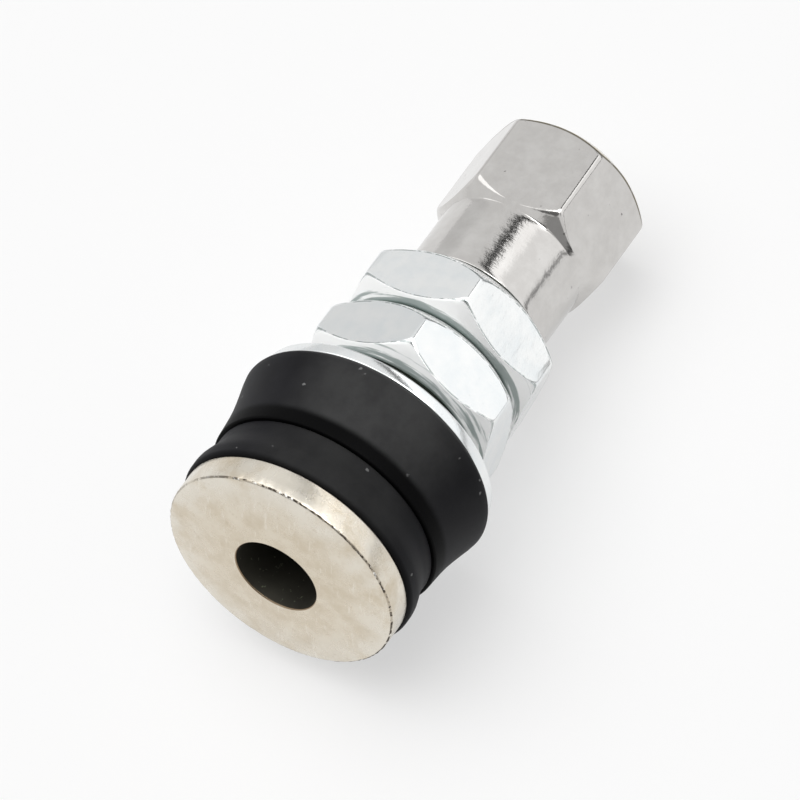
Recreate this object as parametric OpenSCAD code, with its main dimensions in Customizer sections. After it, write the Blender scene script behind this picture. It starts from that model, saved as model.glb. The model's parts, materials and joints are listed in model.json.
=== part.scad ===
// Clamp-in tyre valve of turned brass, with two rubber seals, a washer, a pair of
// hexagon nuts, a hexagon cap and the spring-closed valve core inside.
// Every piece is drawn upright on the valve's own axis, foot at the bottom, and is
// then laid down the way the valve comes to rest: on its outer seal and its cap.

/* [Foot and stem] */
// Diameter of the foot, the flange that stays inside the tyre
foot_d = 17.3; // [15:0.1:20]
// Thickness of the foot at the air hole
foot_t = 2.6; // [1.8:0.1:4]
// How far the domed face of the foot falls back from the air hole to the rim
foot_dome = 0.6; // [0.2:0.05:1]
// Round on the two edges of the foot's rim
foot_edge = 0.12; // [0.05:0.01:0.3]
// Diameter of the air hole in the foot
air_hole_d = 6.2; // [4.4:0.1:7]
// Depth of the air hole before it narrows to the core chamber
air_hole_depth = 12; // [6:0.5:16]
// Countersink on the mouth of the air hole
air_hole_edge = 0.2; // [0.05:0.05:0.4]
// Diameter of the threaded shank that carries the nuts
shank_d = 9.9; // [9.6:0.05:10.4]
// Shank that stands out beyond the upper nut
shank_spare = 0.3; // [0.1:0.1:2]
// Diameter of the neck that carries the cap
neck_d = 7.66; // [7.4:0.02:7.8]
// Length of the neck
neck_len = 9.4; // [8:0.1:12]
// Lead-in chamfer on the shank and the neck
thread_lead = 0.4; // [0.1:0.05:0.6]

/* [Seals] */
// Thickness of the inner seal ring
inner_seal_t = 3.7; // [3:0.1:6]
// Reach of the inner seal's lip past the foot's rim
inner_seal_lip = 0.25; // [0.05:0.05:0.4]
// Height of that lip, next to the foot
inner_seal_lip_h = 1; // [0.8:0.1:1.4]
// Height of the taper from the lip to the inner seal's waist
inner_seal_taper_h = 1.6; // [0.6:0.1:2]
// How far the inner seal's waist stays inside the foot's rim
inner_seal_waist = 0.22; // [0.05:0.01:0.6]
// Round on the edge of the inner seal next to the foot
inner_seal_round = 0.5; // [0.1:0.05:0.7]
// Step out from the foot's rim to the outer seal's base
outer_seal_step = 0.05; // [0.02:0.01:0.2]
// Step out from the foot's rim to the outer seal where its flare begins
outer_seal_waist_step = 0.3; // [0.25:0.05:0.6]
// Height of the flare's start above the outer seal's base
outer_seal_waist_h = 2.6; // [1:0.1:3.5]
// Reach of the outer seal's widest edge past the foot's rim
outer_seal_flare = 0.95; // [0.7:0.05:2]
// Thickness of the outer seal
outer_seal_t = 5.9; // [4.5:0.1:9]
// Round on the outer seal's top edge
outer_seal_round = 0.6; // [0.2:0.05:0.8]
// Round on the small edges of both seals
seal_edge = 0.15; // [0.05:0.05:0.3]

/* [Washer and nuts] */
// How far the washer's rim stays inside the outer seal's widest edge
washer_inset = 0.45; // [0.2:0.05:1.5]
// Thickness of the washer
washer_t = 0.9; // [0.5:0.1:2]
// Round on the edges of the washer's rim
washer_edge = 0.15; // [0.05:0.05:0.2]
// Open stretch of shank between the washer and the lower nut
nut_gap = 1.9; // [1:0.1:4]
// Width across the flats of both nuts
nut_af = 14; // [13:0.5:16]
// Thickness of each nut
nut_t = 5; // [4:0.1:8]
// How far the flat ring on each face of a nut stays inside its flats
nut_face_inset = 0.55; // [0.5:0.05:1]
// Slope of the nuts' corner chamfers, from the face
nut_chamfer = 40; // [25:1:45]
// Roll of the lower nut's corner from straight down
lower_nut_roll = 7; // [0:0.5:30]
// Roll of the upper nut's corner from straight down
upper_nut_roll = 17; // [15:0.5:30]

/* [Cap] */
// Width across the flats of the cap's hexagon
cap_af = 11.5; // [10:0.1:12]
// How far the cap's round skirt stays inside its flats
cap_skirt_inset = 0.27; // [0.05:0.01:0.5]
// Length of the hexagon with its shoulder, to the cap's end
cap_hex_len = 8; // [5:0.1:9]
// Slope of the shoulder that leads from the skirt to the corners, from the end face
cap_shoulder = 43; // [30:1:60]
// How far the flat end of the cap stays inside its flats
cap_end_inset = 0.45; // [0.1:0.05:0.8]
// Slope of the chamfer on the cap's end, from the end face
cap_chamfer = 39; // [25:1:50]
// Thickness of the cap's end wall
cap_end_t = 3.05; // [1.5:0.05:3.5]
// Countersink on the mouth of the cap
cap_mouth_edge = 0.3; // [0.1:0.05:0.6]
// Thickness of the rubber disc in the cap
cap_seal_t = 1.1; // [0.8:0.1:1.4]

/* [Valve core] */
// Diameter of the threaded plug
plug_d = 5.14; // [4.8:0.02:5.2]
// Height of the plug, with its yoke
plug_h = 4.4; // [3.6:0.1:5]
// Height of the yoke, the bar across the plug's top
yoke_h = 2.2; // [1.4:0.1:2.6]
// Width of the yoke
yoke_w = 2.2; // [1.8:0.1:2.6]
// Depth of the plug's top below the neck's end
plug_depth = 1; // [0.6:0.1:1.6]
// Outer diameter of the core's barrel
barrel_d = 3.5; // [3.3:0.05:3.6]
// Inner diameter of the core's barrel
barrel_bore_d = 2.7; // [2.6:0.05:2.9]
// Length of the barrel below its head
barrel_len = 7.5; // [6.5:0.1:9]
// How far the barrel's head, which the plug holds down, stays inside its seal ring
barrel_head_inset = 0.2; // [0.05:0.05:0.3]
// Height of the barrel's head
barrel_head_h = 0.9; // [0.6:0.1:1.2]
// Diameter of the opening in the barrel's foot
barrel_mouth_d = 1.6; // [1.4:0.05:1.7]
// Thickness of the barrel's foot
barrel_foot_t = 0.6; // [0.4:0.1:0.8]
// Outer diameter of the barrel's seal ring
barrel_seal_d = 4.7; // [4.5:0.05:4.8]
// Height of the barrel's seal ring
barrel_seal_h = 2.2; // [1.6:0.1:2.6]
// Height of the taper at the foot of that ring
barrel_taper_h = 1.1; // [0.8:0.1:1.4]
// Diameter of the core chamber below its seat
chamber_d = 4.1; // [4:0.05:4.3]
// Diameter of the core's pin
pin_d = 1; // [0.8:0.05:1.1]
// Depth of the pin's tip below the neck's end
pin_depth = 0.3; // [0.1:0.05:0.6]
// Diameter of the pin's collar, which the spring lifts
collar_d = 2.4; // [2.2:0.05:2.5]
// Thickness of the pin's collar
collar_t = 0.4; // [0.3:0.05:0.6]
// Diameter of the spring's wire
spring_wire_d = 0.3; // [0.2:0.02:0.34]
// Mean diameter of the spring's coils
spring_d = 1.86; // [1.7:0.02:1.96]
// Length of the spring with the valve closed
spring_len = 4.8; // [3.6:0.1:5.2]
// Turns of the spring
spring_turns = 6; // [4:1:9]
// Outer diameter of the plunger cup
plunger_d = 3.3; // [3:0.05:3.5]
// Height of the plunger cup
plunger_h = 1.5; // [1.2:0.1:2]
// Wall of the plunger cup
plunger_wall = 0.25; // [0.2:0.05:0.35]
// Thickness of the gasket in the plunger cup
gasket_t = 0.8; // [0.6:0.05:0.9]

/* [Fits] */
// Radial play of the nuts on the shank
nut_fit = 0.05; // [0.02:0.01:0.1]
// Radial play of the washer on the shank
washer_fit = 0.3; // [0.2:0.05:0.5]
// Radial play of the seals on the shank
seal_fit = 0.03; // [0.01:0.01:0.1]
// Radial play of the cap on the neck
cap_fit = 0.07; // [0.03:0.01:0.1]
// Radial play between the core's pieces
core_fit = 0.03; // [0.02:0.01:0.1]
// Play between flat faces that can part
face_play = 0.05; // [0.02:0.01:0.1]
// Gap between the end of the shank and the cap's skirt
cap_gap = 0.4; // [0.3:0.1:1]
// Gap between the end of the neck and the rubber disc in the cap
cap_seal_gap = 0.6; // [0.3:0.1:1]

/* [Hidden] */
$fn = 96;
// Overshoot of a cut past the face it opens
cut = 0.5;
// Facets of a rounded edge's quarter turn
edge_steps = 6;

// Heights along the axis, from the face of the foot at the air hole
inner_seal_z = foot_t;
outer_seal_z = inner_seal_z + inner_seal_t;
washer_z = outer_seal_z + outer_seal_t + face_play;
lower_nut_z = washer_z + washer_t + nut_gap;
upper_nut_z = lower_nut_z + nut_t + face_play;
shank_z = upper_nut_z + nut_t + shank_spare;
neck_z = shank_z + neck_len;
cap_z = shank_z + cap_gap;
cap_seal_z = neck_z + cap_seal_gap;
cap_floor_z = cap_seal_z + cap_seal_t + face_play;
cap_end_z = cap_floor_z + cap_end_t;
cap_hex_z = cap_end_z - cap_hex_len;

// Heights of the valve core
plug_top_z = neck_z - plug_depth;
plug_z = plug_top_z - plug_h;
head_z = plug_z - face_play - barrel_head_h;
barrel_z = head_z - barrel_len;
barrel_ledge_z = barrel_z + barrel_foot_t;
barrel_seal_z = head_z - barrel_seal_h;
spring_z = barrel_ledge_z + core_fit;
collar_z = spring_z + spring_len + core_fit;
gasket_z = barrel_z - core_fit - gasket_t;
plunger_z = gasket_z - plunger_h + gasket_t;
pin_foot_z = plunger_z;
pin_tip_z = neck_z - pin_depth;

// Radii of the rims that follow the foot, and of the faces that follow the flats
foot_r = foot_d / 2;
outer_seal_r = foot_r + outer_seal_flare;
nut_face_r = nut_af / 2 - nut_face_inset;
cap_skirt_r = cap_af / 2 - cap_skirt_inset;
cap_end_r = cap_af / 2 - cap_end_inset;

// Radii of the bores
nut_bore_r = shank_d / 2 + nut_fit;
washer_bore_r = shank_d / 2 + washer_fit;
seal_bore_r = shank_d / 2 + seal_fit;
cap_bore_r = neck_d / 2 + cap_fit;
plug_bore_r = plug_d / 2 + core_fit;
plug_air_r = barrel_bore_d / 2;
barrel_seal_bore_r = barrel_d / 2 + core_fit;
seat_r = barrel_seal_d / 2 + core_fit;
barrel_head_r = barrel_seal_d / 2 - barrel_head_inset;
plunger_well_r = plunger_d / 2 - plunger_wall;

// Radius of the sphere that the foot's domed face belongs to
dome_r = (pow(foot_r, 2) - pow(air_hole_d / 2, 2) + foot_dome * foot_dome) / (2 * foot_dome);

// The valve lies on the rounded top edge of its outer seal and on the far end of one
// flat of its cap. The tilt puts the floor in touch with both.
rest_seal_r = outer_seal_r - outer_seal_round;
rest_seal_z = outer_seal_z + outer_seal_t - outer_seal_round;
rest_cap_r = cap_af / 2;
rest_cap_z = cap_end_z - cap_end_inset * tan(cap_chamfer);
rest_rise = rest_seal_r - rest_cap_r;
rest_run = rest_cap_z - rest_seal_z;
rest_span = sqrt(rest_rise * rest_rise + rest_run * rest_run);
lay_tilt = atan2(rest_rise, rest_run) + asin(outer_seal_round / rest_span);

// Reach of the laid valve along X, from the rim of the foot to the end of the cap, and
// the depth of the floor below the middle of the air hole
foot_reach = foot_dome * cos(lay_tilt) - foot_r * sin(lay_tilt);
cap_reach = cap_end_z * cos(lay_tilt) + cap_end_r * sin(lay_tilt);
floor_depth = rest_seal_r * cos(lay_tilt) + rest_seal_z * sin(lay_tilt) + outer_seal_round;

// Lays an upright piece down on the floor, foot towards -X and midway over the origin,
// with the valve's own +X facing down
module lay() {
    translate([-(foot_reach + cap_reach) / 2, 0, floor_depth])
        rotate([0, 90 + lay_tilt, 0])
            children();
}

// Points of a quarter turn about (r, z), from one angle to another
function corner(r, z, radius, from, to) = [
    for (i = [0 : edge_steps])
        let (a = from + (to - from) * i / edge_steps)
            [r + radius * cos(a), z + radius * sin(a)]
];

// A hexagon prism with a corner facing the valve's own +X
module hex_prism(af, z, h) {
    translate([0, 0, z])
        cylinder(d = af / cos(30), h = h, $fn = 6);
}

// A straight bore through a piece that spans z to z + h
module bore(r, z, h) {
    translate([0, 0, z - cut])
        cylinder(r = r, h = h + 2 * cut);
}

// A cone between two heights
module cone(r1, z1, r2, z2) {
    translate([0, 0, z1])
        cylinder(r1 = r1, r2 = r2, h = z2 - z1);
}

// One hexagon nut, chamfered on both faces, bored for the shank
module nut(z, roll) {
    corner_r = nut_af / 2 / cos(30) + cut;
    chamfer_h = (corner_r - nut_face_r) * tan(nut_chamfer);
    difference() {
        intersection() {
            rotate([0, 0, roll])
                hex_prism(nut_af, z, nut_t);
            rotate_extrude()
                polygon([
                    [0, z],
                    [nut_face_r, z],
                    [corner_r, z + chamfer_h],
                    [corner_r, z + nut_t - chamfer_h],
                    [nut_face_r, z + nut_t],
                    [0, z + nut_t]
                ]);
        }
        bore(nut_bore_r, z, nut_t);
        cone(nut_bore_r + thread_lead, z, nut_bore_r, z + thread_lead);
        cone(nut_bore_r, z + nut_t - thread_lead, nut_bore_r + thread_lead, z + nut_t);
    }
}

// The turned stem: domed foot, shank and neck in one, drilled through
module valve_stem() {
    color([0.84, 0.80, 0.72])
        lay()
            difference() {
                union() {
                    intersection() {
                        rotate_extrude()
                            polygon(concat(
                                [[0, 0], [foot_r - foot_edge, 0]],
                                [[foot_r, foot_edge]],
                                corner(foot_r - foot_edge, foot_t - foot_edge, foot_edge, 0, 90),
                                [[0, foot_t]]
                            ));
                        translate([0, 0, sqrt(dome_r * dome_r - pow(air_hole_d / 2, 2))])
                            sphere(r = dome_r);
                    }
                    cone(shank_d / 2, foot_t - cut, shank_d / 2, shank_z - thread_lead);
                    cone(shank_d / 2, shank_z - thread_lead, shank_d / 2 - thread_lead, shank_z);
                    cone(neck_d / 2, shank_z - cut, neck_d / 2, neck_z - thread_lead);
                    cone(neck_d / 2, neck_z - thread_lead, neck_d / 2 - thread_lead, neck_z);
                }
                stem_passage();
            }
}

// The stem's way for the air: air hole, core chamber, tapered seat and plug thread
module stem_passage() {
    taper_h = (air_hole_d - chamber_d) / 2;
    seat_z = barrel_seal_z + barrel_taper_h;
    cone(air_hole_d / 2, -cut, air_hole_d / 2, air_hole_depth);
    cone(air_hole_d / 2 + air_hole_edge + cut, -cut, air_hole_d / 2, air_hole_edge);
    cone(air_hole_d / 2, air_hole_depth, chamber_d / 2, air_hole_depth + taper_h);
    cone(chamber_d / 2, air_hole_depth, chamber_d / 2, seat_z);
    cone(chamber_d / 2, barrel_seal_z, seat_r, seat_z);
    cone(seat_r, seat_z, seat_r, plug_z);
    cone(plug_bore_r, plug_z - face_play, plug_bore_r, neck_z + cut);
    cone(plug_bore_r, neck_z - thread_lead, plug_bore_r + thread_lead, neck_z);
}

// Rubber ring between the foot and the inside of the rim, with a lip under the foot
module inner_seal() {
    lip_r = foot_r + inner_seal_lip;
    lip_z = inner_seal_z + inner_seal_lip_h;
    waist_r = foot_r - inner_seal_waist;
    top_z = inner_seal_z + inner_seal_t;
    color([0.14, 0.14, 0.15])
        lay()
            rotate_extrude()
                polygon(concat(
                    [[seal_bore_r, inner_seal_z]],
                    corner(lip_r - inner_seal_round, inner_seal_z + inner_seal_round, inner_seal_round, -90, 0),
                    [[lip_r, lip_z]],
                    [[waist_r, lip_z + inner_seal_taper_h]],
                    corner(waist_r - seal_edge, top_z - seal_edge, seal_edge, 0, 90),
                    [[seal_bore_r, top_z]]
                ));
}

// Flared rubber collar between the outside of the rim and the washer
module outer_seal() {
    base_r = foot_r + outer_seal_step;
    top_z = outer_seal_z + outer_seal_t;
    color([0.12, 0.12, 0.12])
        lay()
            rotate_extrude()
                polygon(concat(
                    [[seal_bore_r, outer_seal_z]],
                    corner(base_r - seal_edge, outer_seal_z + seal_edge, seal_edge, -90, 0),
                    [[foot_r + outer_seal_waist_step, outer_seal_z + outer_seal_waist_h]],
                    corner(rest_seal_r, rest_seal_z, outer_seal_round, 0, 90),
                    [[seal_bore_r, top_z]]
                ));
}

// Loose round washer that presses the outer seal down
module washer() {
    rim_r = outer_seal_r - washer_inset - washer_edge;
    color([0.80, 0.82, 0.83])
        lay()
            rotate_extrude()
                polygon(concat(
                    [[washer_bore_r, washer_z]],
                    corner(rim_r, washer_z + washer_edge, washer_edge, -90, 0),
                    corner(rim_r, washer_z + washer_t - washer_edge, washer_edge, 0, 90),
                    [[washer_bore_r, washer_z + washer_t]]
                ));
}

// Nut that clamps the washer
module lower_nut() {
    color([0.78, 0.82, 0.84])
        lay()
            nut(lower_nut_z, lower_nut_roll);
}

// Nut that locks the lower one
module upper_nut() {
    color([0.78, 0.82, 0.84])
        lay()
            nut(upper_nut_z, upper_nut_roll);
}

// Screw cap: round skirt, conical shoulder, hexagon head with chamfered end, blind bore
module cap() {
    corner_r = cap_af / 2 / cos(30) + cut;
    shoulder_h = (corner_r - cap_skirt_r) * tan(cap_shoulder);
    chamfer_h = (corner_r - cap_end_r) * tan(cap_chamfer);
    color([0.72, 0.71, 0.71])
        lay()
            difference() {
                union() {
                    cone(cap_skirt_r, cap_z, cap_skirt_r, cap_hex_z + cut);
                    intersection() {
                        rotate([0, 0, 30])
                            hex_prism(cap_af, cap_hex_z, cap_hex_len);
                        rotate_extrude()
                            polygon([
                                [0, cap_hex_z],
                                [cap_skirt_r, cap_hex_z],
                                [corner_r, cap_hex_z + shoulder_h],
                                [corner_r, cap_end_z - chamfer_h],
                                [cap_end_r, cap_end_z],
                                [0, cap_end_z]
                            ]);
                    }
                }
                cone(cap_bore_r, cap_z - cut, cap_bore_r, cap_floor_z);
                cone(cap_bore_r + cap_mouth_edge, cap_z, cap_bore_r, cap_z + cap_mouth_edge);
            }
}

// Rubber disc in the cap that closes the neck's mouth
module cap_seal() {
    color([0.10, 0.10, 0.10])
        lay()
            cone(cap_bore_r - core_fit, cap_seal_z, cap_bore_r - core_fit, cap_seal_z + cap_seal_t);
}

// Threaded plug of the core, with a yoke across its top that guides the pin
module core_plug() {
    yoke_z = plug_top_z - yoke_h;
    color([0.78, 0.64, 0.33])
        lay()
            difference() {
                union() {
                    cone(plug_d / 2, plug_z, plug_d / 2, yoke_z);
                    intersection() {
                        cone(plug_d / 2, yoke_z - cut, plug_d / 2, plug_top_z);
                        translate([-plug_d / 2, -yoke_w / 2, yoke_z - cut])
                            cube([plug_d, yoke_w, yoke_h + cut]);
                    }
                }
                cone(plug_air_r, plug_z - cut, plug_air_r, plug_top_z - yoke_h / 2);
                bore(pin_d / 2 + core_fit, plug_z, plug_h);
            }
}

// Barrel of the core, hung from the plug, with a foot that the spring stands on
module core_barrel() {
    color([0.78, 0.64, 0.33])
        lay()
            difference() {
                union() {
                    cone(barrel_d / 2, barrel_z, barrel_d / 2, head_z + barrel_head_h);
                    cone(barrel_head_r, head_z, barrel_head_r, head_z + barrel_head_h);
                }
                cone(barrel_bore_d / 2, barrel_ledge_z, barrel_bore_d / 2, head_z + barrel_head_h + cut);
                bore(barrel_mouth_d / 2, barrel_z, barrel_foot_t);
            }
}

// Tapered ring on the barrel that seals it in the stem's seat
module core_barrel_seal() {
    color([0.55, 0.12, 0.10])
        lay()
            rotate_extrude()
                polygon([
                    [barrel_seal_bore_r, barrel_seal_z],
                    [chamber_d / 2 - core_fit, barrel_seal_z],
                    [barrel_seal_d / 2, barrel_seal_z + barrel_taper_h],
                    [barrel_seal_d / 2, head_z],
                    [barrel_seal_bore_r, head_z]
                ]);
}

// Pin of the core, pressed at its tip to let the air in or out
module core_pin() {
    color([0.80, 0.68, 0.40])
        lay()
            union() {
                cone(pin_d / 2, pin_foot_z, pin_d / 2, pin_tip_z - pin_d / 4);
                cone(pin_d / 2, pin_tip_z - pin_d / 4, pin_d / 4, pin_tip_z);
                cone(collar_d / 2, collar_z, collar_d / 2, collar_z + collar_t);
            }
}

// Closing spring of the core, swept along its helix
module core_spring() {
    sides = 8;
    turn_steps = 18;
    rings = spring_turns * turn_steps;
    rise = spring_len - spring_wire_d;
    function ring_point(i, j) =
        let (turn = 360 * i / turn_steps)
        let (across = 360 * j / sides)
        let (r = spring_d / 2 + spring_wire_d / 2 * cos(across))
            [r * cos(turn), r * sin(turn), rise * i / rings + spring_wire_d / 2 * sin(across)];
    points = [for (i = [0 : rings], j = [0 : sides - 1]) ring_point(i, j)];
    walls = [
        for (i = [0 : rings - 1], j = [0 : sides - 1])
            let (next = (j + 1) % sides)
                [i * sides + j, (i + 1) * sides + j, (i + 1) * sides + next, i * sides + next]
    ];
    ends = [
        [for (j = [0 : sides - 1]) j],
        [for (j = [sides - 1 : -1 : 0]) rings * sides + j]
    ];
    color([0.70, 0.70, 0.72])
        lay()
            translate([0, 0, spring_z + spring_wire_d / 2])
                polyhedron(points, concat(walls, ends));
}

// Cup on the pin's foot that carries the gasket
module core_plunger_cup() {
    color([0.78, 0.64, 0.33])
        lay()
            difference() {
                cone(plunger_d / 2, plunger_z, plunger_d / 2, plunger_z + plunger_h - plunger_wall);
                cone(plunger_well_r, gasket_z - core_fit, plunger_well_r, plunger_z + plunger_h);
                bore(pin_d / 2 + core_fit, plunger_z, plunger_h);
            }
}

// Rubber gasket that closes the mouth of the barrel
module core_plunger_gasket() {
    color([0.10, 0.10, 0.10])
        lay()
            difference() {
                cone(plunger_well_r - core_fit, gasket_z, plunger_well_r - core_fit, gasket_z + gasket_t);
                bore(pin_d / 2 + core_fit, gasket_z, gasket_t);
            }
}

valve_stem();
inner_seal();
outer_seal();
washer();
lower_nut();
upper_nut();
cap();
cap_seal();
core_plug();
core_barrel();
core_barrel_seal();
core_pin();
core_spring();
core_plunger_cup();
core_plunger_gasket();
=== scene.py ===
import json
import math

import bmesh
import bpy
from mathutils import Matrix, Vector, noise


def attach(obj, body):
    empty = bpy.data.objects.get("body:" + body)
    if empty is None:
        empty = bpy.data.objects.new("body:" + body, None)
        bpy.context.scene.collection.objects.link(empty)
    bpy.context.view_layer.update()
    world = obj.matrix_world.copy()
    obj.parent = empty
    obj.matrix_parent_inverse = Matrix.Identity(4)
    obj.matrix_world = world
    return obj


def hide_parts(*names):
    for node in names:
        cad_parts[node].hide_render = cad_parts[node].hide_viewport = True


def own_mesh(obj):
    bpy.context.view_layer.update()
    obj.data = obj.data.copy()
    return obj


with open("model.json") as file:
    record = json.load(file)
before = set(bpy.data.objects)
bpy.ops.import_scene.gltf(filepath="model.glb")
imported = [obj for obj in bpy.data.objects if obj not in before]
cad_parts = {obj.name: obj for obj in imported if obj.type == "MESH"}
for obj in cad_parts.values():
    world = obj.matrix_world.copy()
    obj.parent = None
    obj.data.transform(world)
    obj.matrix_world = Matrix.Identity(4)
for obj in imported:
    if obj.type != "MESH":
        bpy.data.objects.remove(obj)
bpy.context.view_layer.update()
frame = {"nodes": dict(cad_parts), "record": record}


# Stem: foot, threaded shank and threaded neck, turned as one from brass bar, drilled through
# for the air and nickel-plated. The foot stays inside the tyre, and its rim edge is nicked.
mm = 0.001
stem_len = 34.8
mounts = {mount["name"]: mount for mount in frame["record"]["mounts"]}
axis = Vector(mounts["pump_neck"]["axis"]).normalized()
side = Vector((0, 1, 0))
foot_mouth = Vector(mounts["pump_neck"]["pos_m"]) - axis * stem_len * mm
laid_turn = Matrix((side.cross(axis), side, axis)).transposed().to_4x4()
lay = Matrix.Translation(foot_mouth) @ laid_turn @ Matrix.Scale(mm, 4)


def even(steps):
    """Angles of one full turn, evenly spaced."""
    return [math.tau * i / steps for i in range(steps)]


def curve(radius, height, bend, start, end, steps=5):
    """Ring places along a rounded edge, about a centre, between two angles in degrees."""
    turns = [math.radians(start + (end - start) * i / steps) for i in range(steps + 1)]
    return [(radius + bend * math.cos(t), height + bend * math.sin(t)) for t in turns]


def turned(rings, angles, closed=True):
    """An upright mesh in millimetres, spun once. A ring is (radius, height) or follows the angle."""
    bm = bmesh.new()
    chain = [bm.verts.new((1, 0, i)) for i in range(len(rings))]
    ends = chain[1:] + chain[:1] if closed else chain[1:]
    edges = [bm.edges.new(pair) for pair in zip(chain, ends)]
    bmesh.ops.spin(bm, geom=chain + edges, axis=(0, 0, 1), cent=(0, 0, 0),
                   angle=math.tau, steps=len(angles), use_merge=True)
    for vert in bm.verts:
        step = round(math.atan2(vert.co.y, vert.co.x) / math.tau * len(angles))
        turn = angles[step % len(angles)]
        ring = rings[round(vert.co.z)]
        radius, height = ring(turn) if callable(ring) else ring
        vert.co = (radius * math.cos(turn), radius * math.sin(turn), height)
    bmesh.ops.remove_doubles(bm, verts=bm.verts, dist=1e-5)
    bmesh.ops.recalc_face_normals(bm, faces=bm.faces)
    return bm


def thread(bm, root, crest, low, high, pitch, lead):
    """Winds one thread of a screw on a wall, cut back at both ends to the lead-in chamfers."""
    tooth = bmesh.new()
    sunk = root - 0.03 if crest > root else root + 0.03
    across = [(sunk, -0.48), (crest, -0.07), (crest, 0.07), (sunk, 0.48)]
    chain = [tooth.verts.new((r, 0, low + pitch * h)) for r, h in across]
    edges = [tooth.edges.new(pair) for pair in zip(chain, chain[1:] + chain[:1])]
    turns = (high - low) / pitch
    steps = round(48 * turns)
    bmesh.ops.spin(tooth, geom=chain + edges, axis=(0, 0, 1), cent=(0, 0, 0), angle=math.tau * turns,
                   steps=steps, dvec=(0, 0, (high - low) / steps))
    for vert in tooth.verts:
        radius = Vector(vert.co.xy).length
        from_end = max(min(vert.co.z - low, high - vert.co.z), 0)
        reach = min(abs(crest - sunk), abs(crest - sunk) - lead + from_end)
        held = sunk + math.copysign(max(reach, 0.01), crest - sunk)
        kept = min(radius, held) if crest > root else max(radius, held)
        vert.co.x *= kept / radius
        vert.co.y *= kept / radius
    bmesh.ops.holes_fill(tooth, edges=tooth.edges, sides=4)
    bmesh.ops.recalc_face_normals(tooth, faces=tooth.faces)
    wound = bpy.data.meshes.new("thread")
    tooth.to_mesh(wound)
    tooth.free()
    bm.from_mesh(wound)
    bpy.data.meshes.remove(wound)


def piece(name, bm, body, node, material):
    """Lays an upright mesh down as the piece that stands for its CAD node."""
    bm.transform(lay)
    mesh = bpy.data.meshes.new(name)
    bm.to_mesh(mesh)
    bm.free()
    mesh.shade_smooth()
    mesh.materials.append(material)
    made = bpy.data.objects.new(name, mesh)
    bpy.context.scene.collection.objects.link(made)
    made.modifiers.new("flat_faces", "WEIGHTED_NORMAL").keep_sharp = True
    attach(made, body)
    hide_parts(node)
    return made


class Shade:
    """A socket in a tree of nodes. Sums on it add Math nodes, and add() puts in any other node."""

    def __init__(self, tree, socket):
        self.tree = tree
        self.socket = socket

    def add(self, kind, settings, sockets, out=0):
        node = self.tree.nodes.new("ShaderNode" + kind)
        for name, value in settings.items():
            setattr(node, name, value)
        for name, value in sockets.items():
            if isinstance(value, Shade):
                self.tree.links.new(value.socket, node.inputs[name])
            else:
                node.inputs[name].default_value = value
        return Shade(self.tree, node.outputs[out])

    def math(self, operation, *values):
        return self.add("Math", {"operation": operation}, dict(enumerate(values)))

    def __add__(self, other):
        return self.math("ADD", self, other)

    def __radd__(self, other):
        return self.math("ADD", other, self)

    def __sub__(self, other):
        return self.math("SUBTRACT", self, other)

    def __rsub__(self, other):
        return self.math("SUBTRACT", other, self)

    def __mul__(self, other):
        return self.math("MULTIPLY", self, other)

    def __rmul__(self, other):
        return self.math("MULTIPLY", other, self)

    def __truediv__(self, other):
        return self.math("DIVIDE", self, other)


def finish(name, **constants):
    """A new material: it, its shader, and the place on the upright valve in millimetres."""
    material = bpy.data.materials.new(name)
    material.use_nodes = True
    shader = material.node_tree.nodes["Principled BSDF"]
    for socket, value in constants.items():
        shader.inputs[socket.replace("_", " ")].default_value = value
    middle, turn, grow = lay.inverted().decompose()
    start = Shade(material.node_tree, material.node_tree.nodes.new("ShaderNodeTexCoord").outputs["Object"])
    place = start.add("Mapping", {}, {"Vector": start, "Location": middle,
                                      "Rotation": turn.to_euler(), "Scale": grow})
    return material, shader, place


def feed(shader, **sockets):
    """Links what changes over a surface to its shader."""
    for name, value in sockets.items():
        value.tree.links.new(value.socket, shader.inputs[name.replace("_", " ")])


def part_of(place, direction):
    """One of the three lengths of a place."""
    return place.add("SeparateXYZ", {}, {0: place}, direction)


def from_axis(place):
    """Distance of a place from the valve's axis."""
    level = place.add("VectorMath", {"operation": "MULTIPLY"}, {0: place, 1: (1, 1, 0)})
    return level.add("VectorMath", {"operation": "LENGTH"}, {0: level}, "Value")


def cloud(place, scale, detail=3.0, rough=0.5, stretch=(1, 1, 1)):
    """Soft noise from 0 to 1, with so many blotches to a millimetre along each direction."""
    spread = place.add("VectorMath", {"operation": "MULTIPLY"}, {0: place, 1: [scale * s for s in stretch]})
    return spread.add("TexNoise", {}, {"Vector": spread, "Scale": 1.0,
                                       "Detail": detail, "Roughness": rough}, "Fac")


def step_up(value, low, high):
    """Goes smoothly from 0 to 1 as a value goes from low to high."""
    return value.add("MapRange", {"interpolation_type": "SMOOTHSTEP"},
                     {"Value": value, "From Min": low, "From Max": high})


def tint(mask, plain, marked):
    """A colour where the mask is 0 and another where it is 1."""
    return mask.add("Mix", {"data_type": "RGBA"}, {0: mask, 6: plain, 7: marked}, 2)


def relief(height, depth):
    """Bump from heights of 0 to 1, so many millimetres deep."""
    return height.add("Bump", {}, {"Strength": 1.0, "Distance": depth * mm, "Height": height})


foot_d = 17.3
foot_t = 2.6
foot_dome = 0.6
hole_r = 3.1
hole_depth = 12.0
dome_r = ((foot_d / 2) ** 2 - hole_r ** 2 + foot_dome ** 2) / (2 * foot_dome)
shank_r = 4.95
shank_root_r = 4.4
shank_thread_low = 12.9
shank_end = 25.4
shank_pitch = 1.0
neck_r = 3.83
neck_root_r = 3.4
neck_mouth_r = 2.98
neck_pitch = 0.79375
chamber_r, chamber_low, chamber_high = 2.05, 13.05, 26.25
seat_r, seat_low, seat_high = 2.38, 27.35, 29.35
plug_bore_r = 2.6
lead = 0.4


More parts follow.
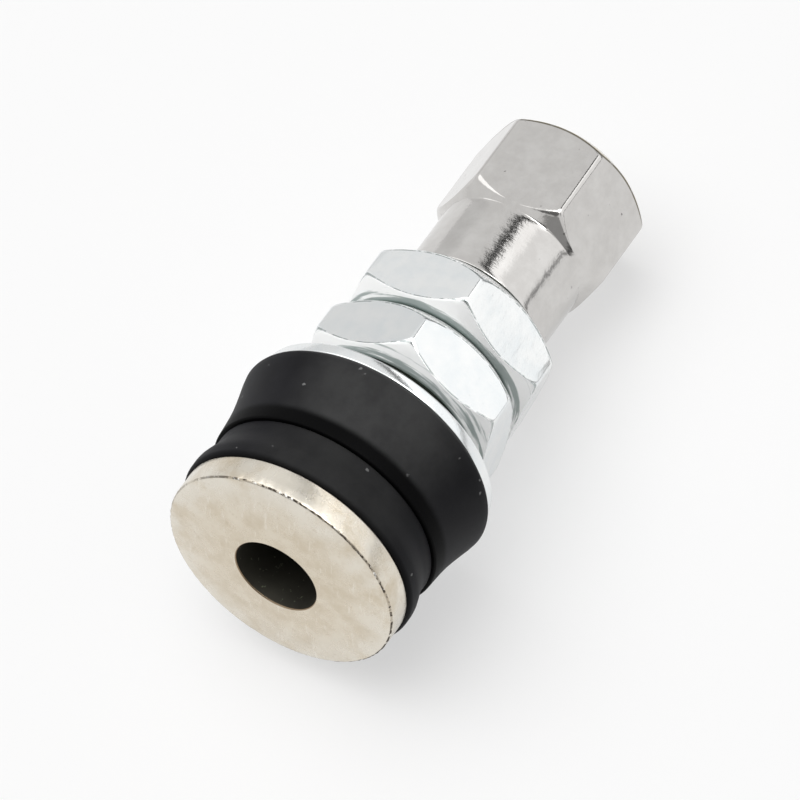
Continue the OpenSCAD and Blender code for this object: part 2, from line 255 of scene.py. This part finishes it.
def dome(radius):
    """Place on the domed face of the foot, at a radius."""
    return radius, math.sqrt(dome_r ** 2 - hole_r ** 2) - math.sqrt(dome_r ** 2 - radius ** 2)


rim_r = foot_d / 2
rim_low = dome(rim_r)[1]
stem = turned(
    [dome(r) for r in (8.46, 8.0, 7.0, 6.0, 5.0, 4.0, hole_r + 0.14, hole_r + 0.1)]
    + [(hole_r + 0.04, 0.04), (hole_r, 0.11), (hole_r, hole_depth)]
    + [(chamber_r, chamber_low), (chamber_r, chamber_high), (seat_r, seat_low), (seat_r, seat_high)]
    + [(plug_bore_r, seat_high), (plug_bore_r, stem_len - lead), (neck_mouth_r, stem_len)]
    + [(neck_root_r, stem_len), (neck_root_r, shank_end), (shank_root_r, shank_end)]
    + [(shank_root_r, 12.3), (shank_r, 12.2), (shank_r, foot_t + 0.2)]
    + curve(shank_r + 0.2, foot_t + 0.2, 0.2, 180, 270, 3)
    + curve(rim_r - 0.12, foot_t - 0.12, 0.12, 90, 0, 4)
    + [(rim_r, 2.0), (rim_r, 1.4), (rim_r, rim_low + 0.16)]
    + [(rim_r - 0.012, rim_low + 0.08), (rim_r - 0.045, rim_low + 0.028), (rim_r - 0.1, rim_low - 0.008)],
    even(360))
for vert in stem.verts:
    out = Vector(vert.co.xy).length
    near_edge = 1 - min(math.hypot(out - rim_r + 0.03, vert.co.z - rim_low - 0.04) / 0.17, 1)
    if near_edge > 0:
        broad = max(noise.noise(vert.co * 2.3) - 0.12, 0)
        small = max(noise.noise(vert.co * 5.1 + Vector((9, 3, 1))), 0)
        nick = broad + 0.6 * small
        cut_in = 1 - 0.09 * nick * near_edge / out
        vert.co = (vert.co.x * cut_in, vert.co.y * cut_in, vert.co.z + 0.07 * nick * near_edge)
thread(stem, shank_root_r, shank_r, shank_thread_low, shank_end - 0.5, shank_pitch, lead)
thread(stem, neck_root_r, neck_r, shank_end + 0.35, stem_len - 0.4, neck_pitch, lead)

nickel, shader, place = finish("nickel_plate", Metallic=1.0)
out, height = from_axis(place), part_of(place, 2)
blotch = cloud(place, 0.55, 6.0, 0.62)
fleck = step_up(cloud(place, 1.9, 5.0, 0.65), 0.56, 0.74)
# The rim edge carries a painted dark reflection that fades towards one side and painted white glints. Its
# dark nicks in the plate also paint dark dashes of reflection.
past_rim, past_low = out - rim_r + 0.035, height - rim_low - 0.03
off_edge = past_rim * past_rim + past_low * past_low
on_edge = (1 - step_up(off_edge, 0.0025, 0.0125)) * (1 - 0.65 * step_up(part_of(place, 1), 2.0, 7.5))
broken = cloud(place, 0.35, 3.0, 0.6)
dark_nicks_and_reflection = step_up(cloud(place, 3.2, 3.0, 0.6) + 0.6 * (broken - 0.5), 0.47, 0.54) * on_edge
glint = (1 - step_up(cloud(place, 2.1, 3.0, 0.6), 0.40, 0.45)) * on_edge
# Painted shade inside the air hole: near black with green-grey specks.
hole_shade = (1 - step_up(out, hole_r + 0.02, hole_r + 0.06)) * step_up(height, 0.06, 0.12)
lip = (1 - step_up(out, hole_r + 0.06, hole_r + 0.11)) * (1 - step_up(height, 0.3, 0.5))
speck = step_up(cloud(place, 2.6, 4.0, 0.6), 0.64, 0.70)
# Painted shade on the threaded shank, under the washer and nuts and in the gap between them.
shank_shade = (1 - step_up(out, 5.1, 5.3)) * step_up(height, 12.0, 12.3)
shank_shade = shank_shade * (1 - step_up(height, shank_end - 0.6, shank_end - 0.4))
# The face is lighter towards the rim in patches: a painted reflection of the table.
rim_reflection = step_up(out, 4.6, rim_r) * step_up(cloud(place, 0.3, 4.0, 0.6), 0.32, 0.60)
scuff = step_up(cloud(place, 1.1, 4.0, 0.7, (0.4, 2.2, 1)), 0.56, 0.70)
plate = tint(step_up(blotch, 0.3, 0.72), (0.60, 0.525, 0.41, 1), (0.705, 0.64, 0.53, 1))
plate = tint(rim_reflection * 0.75, plate, (0.77, 0.735, 0.66, 1))
plate = tint(scuff * 0.4, plate, (0.84, 0.80, 0.72, 1))
plate = tint(fleck * 0.34, plate, (0.47, 0.40, 0.29, 1))
plate = tint(on_edge * 0.45, plate, (0.22, 0.17, 0.11, 1))
plate = tint(glint * 0.9, plate, (0.97, 0.95, 0.90, 1))
plate = tint(dark_nicks_and_reflection * 0.92, plate, (0.045, 0.033, 0.024, 1))
plate = tint(shank_shade * 0.9, plate, (0.10, 0.11, 0.095, 1))
plate = tint(lip * 0.85, plate, (0.20, 0.125, 0.06, 1))
plate = tint(hole_shade, plate, tint(speck, (0.105, 0.10, 0.082, 1), (0.30, 0.33, 0.24, 1)))
rings_cut = cloud(place.add("CombineXYZ", {}, {0: out * 5.0, 1: height * 5.0}), 1.0, 4.0, 0.7)
feed(shader, Base_Color=plate, Roughness=0.20 + 0.14 * blotch + 0.3 * dark_nicks_and_reflection + 0.3 * hole_shade + 0.2 * shank_shade,
     Normal=relief(rings_cut * 0.35 + blotch * 1.5 + cloud(place, 6.0, 2.0) * 0.12, 0.02))
piece("stem_nickel", stem, "stem", "valve_stem", nickel)


# Inner seal: a ring of moulded black rubber on the shank, squeezed between the foot and the
# inside of the wheel's rim. A rounded lip stands out under the foot, and above it is a waist.
seal_bore_r = 4.98
inner_low, inner_high = 2.6, 6.3
lip_r, waist_r = rim_r + 0.25, rim_r - 0.22
inner_seal = turned(
    [(seal_bore_r, inner_low)]
    + curve(lip_r - 0.4, inner_low + 0.4, 0.4, -90, 0, 8)
    + [(lip_r, 3.5), (lip_r - 0.03, 3.75), (lip_r - 0.13, 4.1)]
    + [(waist_r + 0.13, 4.75), (waist_r + 0.03, 5.1), (waist_r, 5.35)]
    + curve(waist_r - 0.15, inner_high - 0.15, 0.15, 0, 90, 5)
    + [(seal_bore_r, inner_high)],
    even(256))


def rubber_finish(name, dark_low=0.0, dark_high=0.0, dust_highlight_grey=0.03):
    """Black moulded rubber, dusty, lighter on its upper side with dust and a painted highlight, and with
    painted shade in a darker band between two heights if given.
    """
    material, dusty, place = finish(name, Specular_IOR_Level=0.09)
    height = part_of(place, 2)
    haze = cloud(place, 0.35, 4.0, 0.6)
    grain = cloud(place, 7.0, 3.0, 0.6)
    cells = place.add("VectorMath", {"operation": "MULTIPLY"}, {0: place, 1: (0.95, 0.95, 0.95)})
    nearest = cells.add("TexVoronoi", {}, {"Vector": cells, "Scale": 1.0})
    chance = part_of(Shade(place.tree, nearest.socket.node.outputs["Color"]), 0)
    ragged = nearest + 0.35 * (cloud(place, 5.0) - 0.5)
    lint = (1 - step_up(ragged, 0.06, 0.13)) * step_up(chance, 0.80, 0.82)
    # The upper side is lighter grey: dust, with a painted highlight.
    upward = (part_of(place, 0) * -0.95 - part_of(place, 1) * 0.3) / from_axis(place)
    dust_and_highlight = step_up(upward, 0.66, 1.0) * (0.55 + 0.45 * step_up(haze, 0.25, 0.7))
    coat = tint(step_up(haze, 0.3, 0.75), (0.0068, 0.0068, 0.0082, 1), (0.0118, 0.0118, 0.0138, 1))
    coat = tint(dust_and_highlight, coat, (dust_highlight_grey, dust_highlight_grey, dust_highlight_grey, 1))
    feed(dusty, Base_Color=tint(lint * 0.8, coat, (0.22, 0.22, 0.22, 1)),
         Roughness=0.46 + 0.14 * haze + 0.05 * grain, Normal=relief(grain * 0.6 + haze, 0.012))
    # A darker, less shiny band between two heights is painted shade in the hollow at the seal's lower edge.
    shade_look = place.tree.nodes.new("ShaderNodeBsdfPrincipled")
    shade_look.inputs["Specular IOR Level"].default_value = 0.03
    shade_look.inputs["Base Color"].default_value = (0.003, 0.003, 0.0032, 1)
    feed(shade_look, Roughness=0.42 + 0.1 * haze, Normal=relief(grain * 0.6 + haze, 0.012))
    above = step_up(height, dark_low - 0.05, dark_low + 0.05)
    shade_band = above * (1 - step_up(height, dark_high - 0.3, dark_high + 0.3))
    plain, in_shade = (Shade(place.tree, look.outputs[0]) for look in (dusty, shade_look))
    both = shade_band.add("MixShader", {}, {0: shade_band, 1: plain, 2: in_shade})
    place.tree.links.new(both.socket, place.tree.nodes["Material Output"].inputs["Surface"])
    return material


# Painted shade under the foot's rim, between heights 2.5 and 2.75.
inner_rubber = rubber_finish("inner_rubber", 2.5, 2.75)
piece("inner_seal_rubber", inner_seal, "stem", "inner_seal", inner_rubber)


# Outer seal: a flared collar of the same rubber, which closes the valve hole from outside. Its
# widest edge is softly rounded, and the washer presses on it.
outer_low, outer_high = 6.3, 12.2
outer_r = rim_r + 0.95
outer_seal = turned(
    [(seal_bore_r, outer_low)]
    + curve(rim_r + 0.05 - 0.15, outer_low + 0.15, 0.15, -90, 0, 4)
    + [(rim_r + 0.1, 7.1), (rim_r + 0.18, 8.0), (rim_r + 0.3, 8.9)]
    + [(rim_r + 0.47, 9.7), (rim_r + 0.69, 10.6), (rim_r + 0.86, 11.25)]
    + curve(outer_r - 0.6, outer_high - 0.6, 0.6, 8, 90, 10)
    + [(seal_bore_r, outer_high)],
    even(256))
# Painted shade in the hollow between the two seals, from 6.2 to 7.45.
outer_rubber = rubber_finish("outer_rubber", 6.2, 7.45, 0.052)
piece("outer_seal_rubber", outer_seal, "stem", "outer_seal", outer_rubber)


# Washer: a loose disc stamped from zinc-plated steel strip, its rim tumbled round. It spreads
# the nut's pressure on the outer seal.
washer_low, washer_high = 12.25, 13.15
washer_r = outer_r - 0.45
washer = turned(
    [(5.25, washer_low)]
    + curve(washer_r - 0.15, washer_low + 0.15, 0.15, -90, 0, 4)
    + curve(washer_r - 0.15, washer_high - 0.15, 0.15, 0, 90, 4)
    + [(5.33, washer_high), (5.25, washer_high - 0.08)],
    even(240))


def zinc_finish(name, middle, reach, cone_r, slope):
    """Bright bluish zinc plate over steel, matt on the chamfers of a nut, with painted shade on its faces.
    """
    material, shader, place = finish(name)
    clouds = cloud(place, 0.45, 5.0, 0.6)
    streak = cloud(place, 1.2, 5.0, 0.65, (1, 1, 0.22))
    dull = step_up(cloud(place, 3.1, 4.0, 0.6), 0.66, 0.78)
    out, height = from_axis(place), part_of(place, 2)
    from_middle = height.math("ABSOLUTE", height - middle)
    over_cone = from_middle + (out - cone_r) * slope - reach
    chamfer = step_up(over_cone, -0.09, -0.03)
    edge = step_up(over_cone, -0.17, -0.12) * (1 - step_up(over_cone, -0.08, -0.04))
    edge = edge * step_up(streak, 0.40, 0.52)
    # Painted shade on the faces of a nut, in the gaps next to the washer and the other nut.
    face_shade = step_up(from_middle, reach - 0.14, reach - 0.03)
    round_axis = height.math("ARCTAN2", part_of(place, 1), 0 - part_of(place, 0))
    wound = place.add("CombineXYZ", {}, {0: round_axis * 1.1, 1: out * 2.2, 2: height * 2.2})
    lathe = cloud(wound, 1.0, 4.0, 0.62)
    turned_dark = step_up(lathe + 0.2 * step_up(from_middle, reach - 1.0, reach - 0.1), 0.60, 0.74)
    plate = tint(step_up(clouds, 0.3, 0.7), (0.86, 0.87, 0.865, 1), (0.79, 0.82, 0.83, 1))
    plate = tint(dull * 0.3, plate, (0.42, 0.45, 0.45, 1))
    plate = tint(chamfer, plate, tint(turned_dark, (0.96, 0.965, 0.96, 1), (0.34, 0.385, 0.375, 1)))
    plate = tint(edge * 0.7, plate, (0.22, 0.26, 0.25, 1))
    plate = tint(face_shade * 0.9, plate, (0.17, 0.215, 0.20, 1))
    feed(shader, Base_Color=plate, Metallic=1 - 0.7 * chamfer,
         Roughness=0.12 + 0.10 * clouds + 0.1 * dull + 0.25 * chamfer,
         Normal=relief(clouds * 1.2 + streak * 0.5 + cloud(place, 9.0, 2.0) * 0.15, 0.02))
    return material


washer_plate = zinc_finish("washer_plate", washer_low, 9.0, washer_r, 0.0)
piece("washer_zinc", washer, "washer", "washer", washer_plate)


# Nuts: two hexagon nuts of zinc-plated steel on the shank's thread, chamfered on both faces.
# The lower one clamps the washer and the upper one locks it.
nut_af = 14.0
nut_t = 5.0
nut_face_r = 6.45
nut_bore_r = 5.4
nut_thread_r = 5.0
nut_slope = math.tan(math.radians(40))
nut_round = 0.28


def hexagon(across_flats, corner_round):
    """Radius of a hexagon with rounded corners, at an angle from one of its corners."""
    flat = across_flats / 2
    centre = (flat - corner_round) / math.cos(math.pi / 6)
    edge = math.atan((flat - corner_round) * math.tan(math.pi / 6) / flat)

    def radius(turn):
        off_flat = abs(turn % (math.pi / 3) - math.pi / 6)
        if off_flat <= edge:
            return flat / math.cos(off_flat)
        off_corner = math.pi / 6 - off_flat
        aside = centre * math.sin(off_corner)
        return centre * math.cos(off_corner) + math.sqrt(corner_round ** 2 - aside ** 2)

    return radius


def six_times(angles):
    """Angles of a full turn from those of one flat, in degrees from a corner."""
    return [math.radians(60 * k + a) for k in range(6) for a in angles]


def eased_edge(outline, cone_r, cone_z, slope, soft, steps=4):
    """Rings round the edge of a cone and the flats, from cone to flats. A rule says how soft it is."""
    def ring(t):
        def place(turn):
            far = outline(turn)
            near = min(soft(far), 0.45 * (far - cone_r))
            edge = cone_z + slope * (far - cone_r)
            on_flat = edge + math.copysign(near, slope)
            height = (1 - t) ** 2 * (edge - slope * near) + 2 * t * (1 - t) * edge + t * t * on_flat
            return far - near * (1 - t) ** 2, height

        return place

    return [ring(i / steps) for i in range(steps + 1)]


def worn_corner(amount, cone_r):
    """A rule for an edge that is worn most at the corners."""
    return lambda far: amount * (far - cone_r) ** 3


half_flat = [0.45, 0.9, 1.35, 1.8, 2.3, 3.5, 6, 10, 15, 20, 25]
flat_angles = [0] + half_flat + [30] + [60 - angle for angle in reversed(half_flat)]
nut_hex = hexagon(nut_af, nut_round)


def nut(low, roll):
    """One nut, from its lower face, its corner rolled from straight down."""
    high = low + nut_t
    bm = turned(
        [(nut_bore_r, low), (6.0, low), (nut_face_r - 0.08, low), (nut_face_r + 0.06, low + 0.05)]
        + eased_edge(nut_hex, nut_face_r, low, nut_slope, worn_corner(0.1, nut_face_r))
        + eased_edge(nut_hex, nut_face_r, high, -nut_slope, worn_corner(0.1, nut_face_r))[::-1]
        + [(nut_face_r + 0.06, high - 0.05), (nut_face_r - 0.08, high), (6.0, high), (nut_bore_r, high)],
        six_times(flat_angles))
    thread(bm, nut_bore_r, nut_thread_r, low + 0.52, high - 0.52, shank_pitch, 0.3)
    bmesh.ops.rotate(bm, verts=bm.verts, cent=(0, 0, 0), matrix=Matrix.Rotation(math.radians(roll), 3, "Z"))
    return bm


for name, low, roll in (("lower_nut", 15.05, 7), ("upper_nut", 20.1, 17)):
    plate = zinc_finish(name + "_plate", low + nut_t / 2, nut_t / 2, nut_face_r, nut_slope)
    piece(name + "_zinc", nut(low, roll), name, name, plate)


# Cap: turned from hexagon brass bar and chrome-plated, and threaded inside for the neck. The skirt is
# turned round, a little inside the flats, and a cone leads from it to the six corners.
cap_af = 11.5
cap_low, cap_hex_low, cap_high = 25.8, 31.6, 39.6
cap_skirt_r = 5.48
cap_shoulder_slope = math.tan(math.radians(43))
cap_end_r = 5.3
cap_end_slope = math.tan(math.radians(39))
cap_bore_r = 4.3
cap_thread_r = 3.9
cap_floor = 36.55
cap_hex = hexagon(cap_af, 0.42)


def past_flat(far):
    """How far the hexagon stands out beyond the middle of its flats, where the shoulder runs out."""
    return max(far - cap_af / 2 - 0.023, 0.001)


def worn_shoulder(far):
    """A rule for the shoulder's edge, which is soft at the corners and sharp between them."""
    return 0.5 * past_flat(far) ** 0.9


def shoulder_root(out, up):
    """Ring in the small hollow round under the shoulder, which is widest under the corners."""
    def place(turn):
        hollow = 0.15 * past_flat(cap_hex(turn))
        return cap_skirt_r + out * hollow, cap_hex_low + up * hollow

    return place


cap = turned(
    [(0, cap_high), (2.5, cap_high), (4.8, cap_high)]
    + [(5.16, cap_high), (5.25, cap_high - 0.015), (5.33, cap_high - 0.06)]
    + eased_edge(cap_hex, cap_end_r, cap_high, -cap_end_slope, worn_corner(0.16, cap_end_r))
    + eased_edge(cap_hex, cap_skirt_r, cap_hex_low, cap_shoulder_slope, worn_shoulder)[::-1]
    + [shoulder_root(1, 0.85), shoulder_root(0.3, -0.1), shoulder_root(0, -1.2), (cap_skirt_r, 31.2)]
    + [(cap_skirt_r, 29.5), (cap_skirt_r, 27.5), (cap_skirt_r, 26.2)]
    + curve(cap_skirt_r - 0.1, cap_low + 0.1, 0.1, 0, -90, 4)
    + [(4.5, cap_low), (cap_bore_r, cap_low + 0.2), (cap_bore_r, cap_floor)]
    + [(2.0, cap_floor), (0, cap_floor)],
    six_times(flat_angles), closed=False)
thread(cap, cap_bore_r, cap_thread_r, cap_low + 0.6, cap_floor - 1.6, neck_pitch, 0.3)
bmesh.ops.rotate(cap, verts=cap.verts, cent=(0, 0, 0), matrix=Matrix.Rotation(math.radians(30), 3, "Z"))

chrome, shader, place = finish("chrome_plate", Metallic=1.0)
height = part_of(place, 2)
on_skirt = 1 - step_up(height, cap_hex_low - 0.1, cap_hex_low + 0.05)
sheen = cloud(place, 0.7, 5.0, 0.62)
tool_marks = cloud(place, 1.0, 3.0, 0.75, (0.7, 0.7, 7.5))
pit = step_up(cloud(place, 2.4, 2.0, 0.4), 0.75, 0.80)
plate = tint(step_up(sheen, 0.3, 0.75), (0.575, 0.56, 0.543, 1), (0.645, 0.632, 0.615, 1))
plate = tint(pit * 0.7, plate, (0.16, 0.15, 0.15, 1))
out = from_axis(place)
on_chamfer = height + (out - cap_end_r) * cap_end_slope - cap_high
rubs = cloud(place, 1.1, 4.0, 0.6)
# A thin dark line on the end chamfer is a painted dark reflection. Beside it the chrome is worn to bare
# brass.
dark_end_reflection = step_up(on_chamfer, -0.19, -0.11) * (1 - step_up(on_chamfer, -0.05, -0.02))
dark_end_reflection = dark_end_reflection * step_up(out, 5.4, 5.6) * step_up(rubs, 0.30, 0.44)
bare = step_up(on_chamfer, -0.06, -0.02) * step_up(rubs, 0.42, 0.58)
plate = tint(bare * 0.6, plate, (0.60, 0.49, 0.27, 1))
plate = tint(dark_end_reflection * 0.88, plate, (0.11, 0.095, 0.06, 1))
feed(shader, Base_Color=plate, Roughness=0.07 + 0.05 * sheen + 0.2 * pit + 0.2 * dark_end_reflection + 0.1 * bare,
     Normal=relief(sheen * 1.2 + tool_marks * on_skirt * 0.25 + cloud(place, 1.6, 3.0) * 0.12, 0.02))
piece("cap_chrome", cap, "cap", "cap", chrome)


# Cap seal: a disc of black rubber punched from sheet, pressed into the bottom of the cap, where
# it closes the neck's mouth. It keeps its CAD solid.
frame["nodes"]["cap_seal"].material_slots[0].material = rubber_finish("disc_rubber")


# Valve core: plug, barrel, pin and plunger cup, turned from brass rod and left bright. The plug
# screws into the neck and holds the barrel on its tapered seat. They keep their CAD solids.
brass, shader, place = finish("turned_brass", Metallic=1.0)
tarnish = cloud(place, 1.1, 5.0, 0.6)
cut_rings = place.add("CombineXYZ", {}, {0: from_axis(place) * 6.0, 1: part_of(place, 2) * 9.0})
turning = cloud(cut_rings, 1.0, 3.0, 0.6)
feed(shader, Base_Color=tint(step_up(tarnish, 0.35, 0.75), (0.76, 0.58, 0.27, 1), (0.60, 0.42, 0.18, 1)),
     Roughness=0.22 + 0.2 * tarnish, Normal=relief(turning + tarnish * 0.5, 0.008))
for node in ("core_plug", "core_barrel", "core_pin", "core_plunger_cup"):
    frame["nodes"][node].material_slots[0].material = brass


# Core seal: a tapered ring of red plastic moulded on the barrel, which closes the gap round it.
# It keeps its CAD solid.
seal_plastic, shader, place = finish("red_plastic")
mould = cloud(place, 1.6, 4.0, 0.6)
feed(shader, Base_Color=tint(step_up(mould, 0.3, 0.75), (0.42, 0.05, 0.04, 1), (0.33, 0.035, 0.03, 1)),
     Roughness=0.42 + 0.15 * mould, Normal=relief(mould + cloud(place, 9.0) * 0.2, 0.008))
frame["nodes"]["core_barrel_seal"].material_slots[0].material = seal_plastic


# Plunger gasket: a washer of soft black rubber in the plunger cup, which closes the barrel.
# It keeps its CAD solid.
frame["nodes"]["core_plunger_gasket"].material_slots[0].material = rubber_finish("gasket_rubber")


# Closing spring: six turns of drawn spring wire round the pin, standing on the barrel's foot.
# It pushes the pin up, and shortens when the pin is pressed.
spring_low, spring_len, spring_r, wire_r = 21.58, 4.8, 0.93, 0.15
spring = bmesh.new()
wire_end = Matrix.Translation((spring_r, 0, spring_low + wire_r)) @ Matrix.Rotation(math.pi / 2, 4, "X")
section = bmesh.ops.create_circle(spring, radius=wire_r, segments=12, matrix=wire_end)
section_edges = list({edge for vert in section["verts"] for edge in vert.link_edges})
bmesh.ops.spin(spring, geom=section["verts"] + section_edges, axis=(0, 0, 1), cent=(0, 0, 0),
               angle=math.tau * 6, steps=216, dvec=(0, 0, (spring_len - 2 * wire_r) / 216))
bmesh.ops.holes_fill(spring, edges=spring.edges, sides=12)
bmesh.ops.recalc_face_normals(spring, faces=spring.faces)
wire, shader, place = finish("spring_wire", Metallic=1.0)
drawn = cloud(place, 3.0, 4.0, 0.6)
feed(shader, Base_Color=tint(step_up(drawn, 0.3, 0.7), (0.60, 0.60, 0.62, 1), (0.46, 0.46, 0.47, 1)),
     Roughness=0.25 + 0.2 * drawn, Normal=relief(drawn, 0.005))
coil = piece("closing_spring", spring, "stem", "core_spring", wire)
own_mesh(coil)


# Studio: a white table under soft white light from above and a little from the left. The bright
# metal mirrors a lit panel on the right with a dark gap above it, two lamps overhead, the dark
# camera, a dim left end and far side, and the dark room beyond the table's edge.
floor_mesh = bmesh.new()
bmesh.ops.create_grid(floor_mesh, x_segments=8, y_segments=8, size=1.6)
table_top = bpy.data.meshes.new("table")
floor_mesh.to_mesh(table_top)
floor_mesh.free()
table = bpy.data.objects.new("table", table_top)
bpy.context.scene.collection.objects.link(table)


def looked_at(tree):
    """1 for what the camera sees, also by way of metal or glass, and 0 for what only gives light."""
    ways = [Shade(tree, tree.nodes.new("ShaderNodeLightPath").outputs[way])
            for way in ("Is Camera Ray", "Is Glossy Ray", "Is Transmission Ray")]
    return ways[0].math("MAXIMUM", ways[0], ways[1].math("MAXIMUM", ways[1], ways[2]))


paper = bpy.data.materials.new("white_paper")
paper.use_nodes = True
paper_shader = paper.node_tree.nodes["Principled BSDF"]
paper_shader.inputs["Base Color"].default_value = (0.94, 0.94, 0.94, 1)
paper_shader.inputs["Roughness"].default_value = 0.9
paper_shader.inputs["Specular IOR Level"].default_value = 0.1
lift = 0.58 * looked_at(paper.node_tree)
white = lift.add("Emission", {}, {"Color": (1, 1, 1, 1), "Strength": 1.0})
lifted = lift.add("MixShader", {}, {0: lift, 1: Shade(paper.node_tree, paper_shader.outputs[0]), 2: white})
paper.node_tree.links.new(lifted.socket, paper.node_tree.nodes["Material Output"].inputs["Surface"])
table_top.materials.append(paper)

world = bpy.data.worlds.new("studio")
bpy.context.scene.world = world
world.use_nodes = True
room = world.node_tree
toward = Shade(room, room.nodes.new("ShaderNodeTexCoord").outputs["Generated"])


def along(*direction):
    """How far a look into the room goes along a direction."""
    straight = Vector(direction).normalized()
    return toward.add("VectorMath", {"operation": "DOT_PRODUCT"}, {0: toward, 1: straight}, "Value")


def between(value, low, high, soft):
    """1 between two values and 0 outside, with soft limits."""
    return step_up(value, low - soft, low + soft) * (1 - step_up(value, high - soft, high + soft))


panel = Vector((0.62, -0.60, 0.50)).normalized()
panel_side = panel.cross(Vector((0, 0, 1))).normalized()
facing = step_up(along(*panel), 0.05, 0.15)
depth = along(*panel).math("MAXIMUM", along(*panel), 0.05)
across, up = along(*panel_side) / depth, along(*panel_side.cross(panel)) / depth
lit = facing * between(across, -0.76, 0.76, 0.04) * (1 - step_up(up, 0.40, 0.45))
lamp_row = lit * step_up(up, 0.14, 0.26)
gap = facing * between(across, -1.25, 1.25, 0.05) * between(up, 0.440, 0.612, 0.025)
overhead = step_up(along(0.12, -0.36, 0.92), 0.92, 0.98)
skylight = step_up(along(-0.04, 0.51, 0.86), 0.86, 0.94)
left_end = step_up(along(0.558, 0.812, 0.173), 0.93, 0.985)
far_side = step_up(along(-0.85, -0.50, 0.25), 0.86, 0.91)
rise, ahead = along(0, 0, 1), along(1, 0, 0)
room_top = 0.10 + 0.19 * step_up(ahead * ahead, 0.35, 0.75)
dark_room = step_up(rise, -0.04, 0.0) * (1 - step_up(rise - room_top, -0.05, 0.03))
dark_room = dark_room * (1 - step_up(along(0, 1, 0), 0.45, 0.65))
dark_camera = step_up(along(-0.409, -0.320, 0.855), 0.945, 0.970)
bright = 0.88 + 0.27 * lit + 0.35 * lamp_row + 5.0 * overhead + 0.8 * skylight
mirrored = bright * (1 - 0.96 * gap) * (1 - 0.72 * dark_room) * (1 - 0.8 * dark_camera)
mirrored = mirrored * (1 - 0.6 * far_side) * (1 - 0.13 * left_end)
light = 0.16 + 3.4 * step_up(along(-0.04, 0.30, 0.95), 0.74, 0.99)
shown = looked_at(room)
room.links.new((light + shown * (mirrored - light)).socket, room.nodes["Background"].inputs["Strength"])
room.nodes["Background"].inputs["Color"].default_value = (1, 1, 1, 1)

aim = Vector((-2.1337, 0.8424, 7.3721)) * mm
camera_far = 537.127
azimuth, elevation, roll = (math.radians(a) for a in (-52.262, 58.506, 9.151))
back = Vector((math.sin(azimuth) * math.cos(elevation), -math.cos(azimuth) * math.cos(elevation),
               math.sin(elevation)))
level_right = Vector((0, 0, 1)).cross(back).normalized()
level_up = back.cross(level_right)
right = level_right * math.cos(roll) - level_up * math.sin(roll)
up_in_view = level_up * math.cos(roll) + level_right * math.sin(roll)
lens = bpy.data.cameras.new("camera")
lens.lens = 355.06
lens.sensor_width = 36
lens.clip_start = 0.01
camera = bpy.data.objects.new("camera", lens)
camera_turn = Matrix((right, up_in_view, back)).transposed().to_4x4()
camera.matrix_world = Matrix.Translation(aim + back * camera_far * mm) @ camera_turn
bpy.context.scene.collection.objects.link(camera)
bpy.context.scene.camera = camera
bpy.context.scene.view_settings.view_transform = "Standard"
